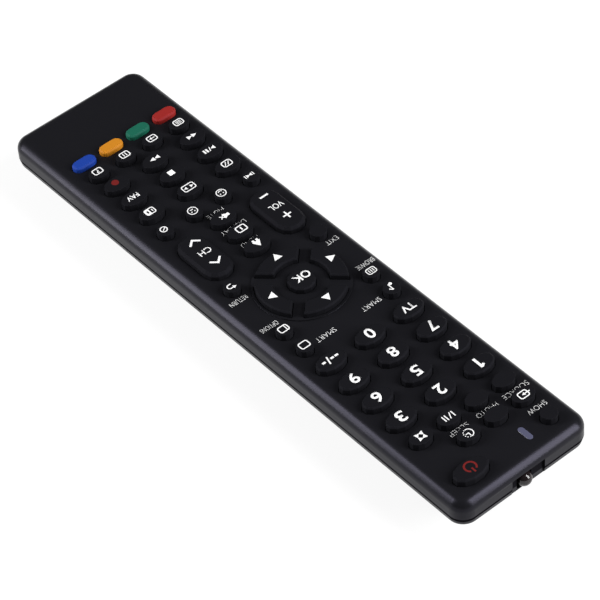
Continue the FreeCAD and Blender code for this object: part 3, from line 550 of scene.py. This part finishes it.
def piece_from(solid, name, material, body):
    """A finished piece, smooth where its faces meet at a low angle."""
    mesh = bpy.data.meshes.new(name)
    solid.to_mesh(mesh)
    solid.free()
    mesh.shade_smooth()
    mesh.set_sharp_from_angle(angle=SMOOTH)
    mesh.materials.append(material)
    piece = bpy.data.objects.new(name, mesh)
    bpy.context.scene.collection.objects.link(piece)
    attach(piece, body)
    return piece


DOME_TURNS = range(0, 91, 10)           # degrees, from the barrel to the tip
dome_middle = lamp_tip - LAMP_RADIUS
dome = [(dome_middle + LAMP_RADIUS * math.sin(math.radians(turn)),
         LAMP_RADIUS * math.cos(math.radians(turn))) for turn in DOME_TURNS]
flange = [(lamp_foot, 0), (lamp_foot, FLANGE_RADIUS), (lamp_foot + FLANGE_THICKNESS, FLANGE_RADIUS),
          (lamp_foot + FLANGE_THICKNESS, LAMP_RADIUS)]
epoxy = clear_plastic("smoked_epoxy", "#2b2023", roughness=0.06, transmission=0.6, ior=1.55, shine=0.3)
lamp = piece_from(lathe(flange + dome, LAMP_SIDES), "emitter_lamp", epoxy, "case")
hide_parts("ir_emitter")


def plated(name, colour, roughness, patch):
    """Plated metal, clouded by small patches where the plating is duller."""
    material = empty_material(name)
    spot = add(material, "ShaderNodeTexCoord")
    cloud = add(material, "ShaderNodeTexNoise", {"Scale": 1 / patch, "Detail": 3.0},
                {"Vector": (spot, "Object")})
    shade = tinted(material, colour, cloud, low=0.85, high=1.1)
    gloss = add(material, "ShaderNodeMapRange", {"To Min": roughness * 0.7, "To Max": roughness * 1.4},
                {"Value": (cloud, "Fac")})
    skin = add(material, "ShaderNodeBsdfPrincipled", {"Metallic": 1.0},
               {"Base Color": (shade, 2), "Roughness": (gloss, "Result")})
    add(material, "ShaderNodeOutputMaterial", {}, {"Surface": (skin, "BSDF")})
    return material


tinned_steel = plated("tinned_steel", "#c9cac6", roughness=0.35, patch=0.4 * MM)
LEG_PITCH = 2.54 * MM
LEG_THICKNESS = 0.5 * MM
LEG_LENGTH = 4.8 * MM
LEG_ROOT = 0.4 * MM                     # how far a leg reaches into the lamp
legs = bmesh.new()
for side in (-1, 1):
    leg_middle = Vector((lamp_x + side * LEG_PITCH / 2, lamp_foot + LEG_ROOT - LEG_LENGTH / 2, lamp_z))
    bmesh.ops.create_cube(legs, size=1.0, matrix=Matrix.Translation(leg_middle)
                          @ Matrix.Diagonal((LEG_THICKNESS, LEG_LENGTH, LEG_THICKNESS, 1)))
bmesh.ops.bevel(legs, geom=legs.edges[:], offset=0.08 * MM, affect="EDGES", segments=2, profile=0.5,
                material=-1)
piece_from(legs, "emitter_legs", tinned_steel, "case")


# Circuit board.
# Glass-fibre board under a green solder mask, with copper tracks that show through it as paler lines.
# What hangs below it is black: the controller under its drop of epoxy, the resonator and the capacitor.

TRACK_WIDTH = 0.35 * MM
TRACK_PITCH = 1.6 * MM
TRACK_RUN = 9 * MM                      # between the tracks that run across
TRACK_RELIEF = 0.03 * MM
BOARD_THICKNESS = 1.2 * MM
below_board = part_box("circuit_board")[1].z - BOARD_THICKNESS - 0.05 * MM
board = empty_material("solder_mask_on_glass_fibre")
board_spot = add(board, "ShaderNodeTexCoord")
tracks = add(board, "ShaderNodeTexBrick",
             {"Scale": 1.0, "Mortar Size": TRACK_WIDTH, "Brick Width": TRACK_RUN,
              "Row Height": TRACK_PITCH, "Color1": paint("#14532f"), "Color2": paint("#175a34"),
              "Mortar": paint("#2f7a4c")},
             {"Vector": (board_spot, "Object")})
board_height = add(board, "ShaderNodeSeparateXYZ", {}, {"Vector": (board_spot, "Object")})
hanging = add(board, "ShaderNodeMath", {"operation": "LESS_THAN", 1: below_board},
              {0: (board_height, "Z")})
board_colour = add(board, "ShaderNodeMix", {"data_type": "RGBA", 7: paint("#18181a")},
                   {0: (hanging, 0), 6: (tracks, "Color")})
board_gloss = add(board, "ShaderNodeMapRange", {"To Min": 0.25, "To Max": 0.5}, {"Value": (hanging, 0)})
board_relief = add(board, "ShaderNodeBump", {"Strength": 1.0, "Distance": TRACK_RELIEF},
                   {"Height": (tracks, "Fac")})
board_skin = add(board, "ShaderNodeBsdfPrincipled", {"IOR": 1.55},
                 {"Base Color": (board_colour, 2), "Roughness": (board_gloss, "Result"),
                  "Normal": (board_relief, "Normal")})
add(board, "ShaderNodeOutputMaterial", {}, {"Surface": (board_skin, "BSDF")})
dress(["circuit_board"], board)


# Keypad mat.
# Compression-moulded silicone rubber, grey and matt, with a bloom of talc that keeps it from sticking.

TALC_PATCH = 3 * MM
silicone = empty_material("grey_silicone_rubber")
mat_spot = add(silicone, "ShaderNodeTexCoord")
talc = add(silicone, "ShaderNodeTexNoise", {"Scale": 1 / TALC_PATCH, "Detail": 5.0, "Roughness": 0.7},
           {"Vector": (mat_spot, "Object")})
mat_shade = tinted(silicone, "#7b7d80", talc, low=0.8, high=1.2)
mat_gloss = add(silicone, "ShaderNodeMapRange", {"To Min": 0.55, "To Max": 0.8},
                {"Value": (talc, "Fac")})
mat_skin = add(silicone, "ShaderNodeBsdfPrincipled", {"IOR": 1.41},
               {"Base Color": (mat_shade, 2), "Roughness": (mat_gloss, "Result")})
add(silicone, "ShaderNodeOutputMaterial", {}, {"Surface": (mat_skin, "BSDF")})
dress(["keypad_mat"], silicone)


# Batteries.
# Steel cans in a shrunk film sleeve, grey with a broad blue band, that leaves the plated ends bare.

cells_low, cells_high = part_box("batteries")
cells_middle = (cells_low.y + cells_high.y) / 2
cells_half = (cells_high.y - cells_low.y) / 2
BARE_END = 2 * MM                       # the button and the rim round it, and the same at the flat end
BAND = 14 * MM
PRINT_DOT = 0.3 * MM                    # coarser than the real dots, so that they show
sleeve = empty_material("printed_film_sleeve")
cell_spot = add(sleeve, "ShaderNodeTexCoord")
cell_place = add(sleeve, "ShaderNodeSeparateXYZ", {}, {"Vector": (cell_spot, "Object")})
from_middle = add(sleeve, "ShaderNodeMath", {"operation": "SUBTRACT", 1: cells_middle},
                  {0: (cell_place, "Y")})
from_middle = add(sleeve, "ShaderNodeMath", {"operation": "ABSOLUTE"}, {0: (from_middle, 0)})
bare_end = add(sleeve, "ShaderNodeMath", {"operation": "GREATER_THAN", 1: cells_half - BARE_END},
               {0: (from_middle, 0)})
banded = add(sleeve, "ShaderNodeMath", {"operation": "LESS_THAN", 1: BAND / 2}, {0: (from_middle, 0)})
print_dots = add(sleeve, "ShaderNodeTexNoise", {"Scale": 1 / PRINT_DOT, "Detail": 1.0},
                 {"Vector": (cell_spot, "Object")})
film = tinted(sleeve, "#9a9da1", print_dots, low=0.92, high=1.08)
film = add(sleeve, "ShaderNodeMix", {"data_type": "RGBA", 7: paint("#1d4f91")},
           {0: (banded, 0), 6: (film, 2)})
film = add(sleeve, "ShaderNodeMix", {"data_type": "RGBA", 7: paint("#c4c4c0")},
           {0: (bare_end, 0), 6: (film, 2)})
cell_skin = add(sleeve, "ShaderNodeBsdfPrincipled", {"Roughness": 0.3},
                {"Base Color": (film, 2), "Metallic": (bare_end, 0)})
add(sleeve, "ShaderNodeOutputMaterial", {}, {"Surface": (cell_skin, "BSDF")})
dress(["batteries"], sleeve)


# Battery contacts.
# Tongues and plates stamped from spring steel and nickel-plated.

dress(["battery_contacts"], plated("nickel_plated_spring_steel", "#b9b4a6", roughness=0.3,
                                   patch=0.5 * MM))
soften(["battery_contacts"], width=0.08 * MM, segments=2)


# Floor, light and camera.
# A sweep of white paper, and a tall soft box on each side that the shoulders of the case mirror.  The
# paper is as white as the photo's through a glow that lights nothing, and keeps a faint shadow.

FLOOR_REACH = 3.0
FLOOR_DROP = 0.05 * MM                  # it lies this far below the underside of the case
PAPER_GLOW = 0.8
floor_mesh = bmesh.new()
bmesh.ops.create_grid(floor_mesh, x_segments=1, y_segments=1, size=FLOOR_REACH)
floor_data = bpy.data.meshes.new("floor")
floor_mesh.to_mesh(floor_data)
floor_mesh.free()
floor = bpy.data.objects.new("floor", floor_data)
bpy.context.scene.collection.objects.link(floor)
floor.location.z = -FLOOR_DROP
floor_paper = empty_material("white_paper_sweep")
card = add(floor_paper, "ShaderNodeBsdfDiffuse", {"Color": paint("#909090")})
ray = add(floor_paper, "ShaderNodeLightPath")
shown = add(floor_paper, "ShaderNodeMath", {"operation": "ADD", "use_clamp": True},
            {0: (ray, "Is Camera Ray"), 1: (ray, "Is Glossy Ray")})
shown = add(floor_paper, "ShaderNodeMath", {"operation": "ADD", "use_clamp": True},
            {0: (shown, 0), 1: (ray, "Is Transmission Ray")})
glow_strength = add(floor_paper, "ShaderNodeMath", {"operation": "MULTIPLY", 1: PAPER_GLOW},
                    {0: (shown, 0)})
glow = add(floor_paper, "ShaderNodeEmission", {"Color": paint("#ffffff")},
           {"Strength": (glow_strength, 0)})
both = add(floor_paper, "ShaderNodeAddShader", {}, {0: (card, "BSDF"), 1: (glow, "Emission")})
add(floor_paper, "ShaderNodeOutputMaterial", {}, {"Surface": (both, "Shader")})
floor.data.materials.append(floor_paper)

SOFTBOX_DISTANCE = 1.3
SOFTBOXES = {
    # azimuth and elevation in degrees, width and height in metres, brightness
    "left_softbox": (-39, 26, 0.5, 1.15, 11.0),
    "right_softbox": (122, 30, 0.5, 1.25, 13.0),
}


def softbox(name, azimuth, elevation, width, height, brightness):
    """One soft area lamp, aimed at the middle of the remote."""
    light = bpy.data.lights.new(name, "AREA")
    light.shape = "RECTANGLE"
    light.size = width
    light.size_y = height
    light.energy = brightness * math.pi * width * height
    stand = bpy.data.objects.new(name, light)
    turn, lift = math.radians(azimuth), math.radians(elevation)
    way = Vector((math.cos(turn) * math.cos(lift), math.sin(turn) * math.cos(lift), math.sin(lift)))
    spot = way * SOFTBOX_DISTANCE
    stand.matrix_world = Matrix.Translation(spot) @ spot.to_track_quat("Z", "Y").to_matrix().to_4x4()
    bpy.context.scene.collection.objects.link(stand)


for name, placing in SOFTBOXES.items():
    softbox(name, *placing)

ROOM_LIGHT = 0.12                       # what the walls of the studio give back
room = bpy.data.worlds.new("studio_room")
bpy.context.scene.world = room
room.use_nodes = True
room.node_tree.nodes["Background"].inputs["Color"].default_value = paint("#ffffff")
room.node_tree.nodes["Background"].inputs["Strength"].default_value = ROOM_LIGHT

# The camera stands beyond the emitter end, to the right, and looks down at 46 degrees with a long lens
camera_data = bpy.data.cameras.new("camera")
camera_data.sensor_width = 36
camera_data.lens = 183.6
camera_data.clip_start = 0.05
camera = bpy.data.objects.new("camera", camera_data)
CAMERA_SPOT = Vector((0.3804, 0.51725, 0.6701))
CAMERA_RIGHT = Vector((-0.76, 0.647, -0.064))
CAMERA_AIM = Vector((-0.415, -0.559, -0.718)).normalized()
camera_right = (CAMERA_RIGHT - CAMERA_AIM * CAMERA_RIGHT.dot(CAMERA_AIM)).normalized()
camera_up = camera_right.cross(CAMERA_AIM)
camera_turn = Matrix((camera_right, camera_up, -CAMERA_AIM)).transposed().to_4x4()
camera.matrix_world = Matrix.Translation(CAMERA_SPOT) @ camera_turn
bpy.context.scene.collection.objects.link(camera)
bpy.context.scene.camera = camera

bpy.context.scene.view_settings.view_transform = "Standard"
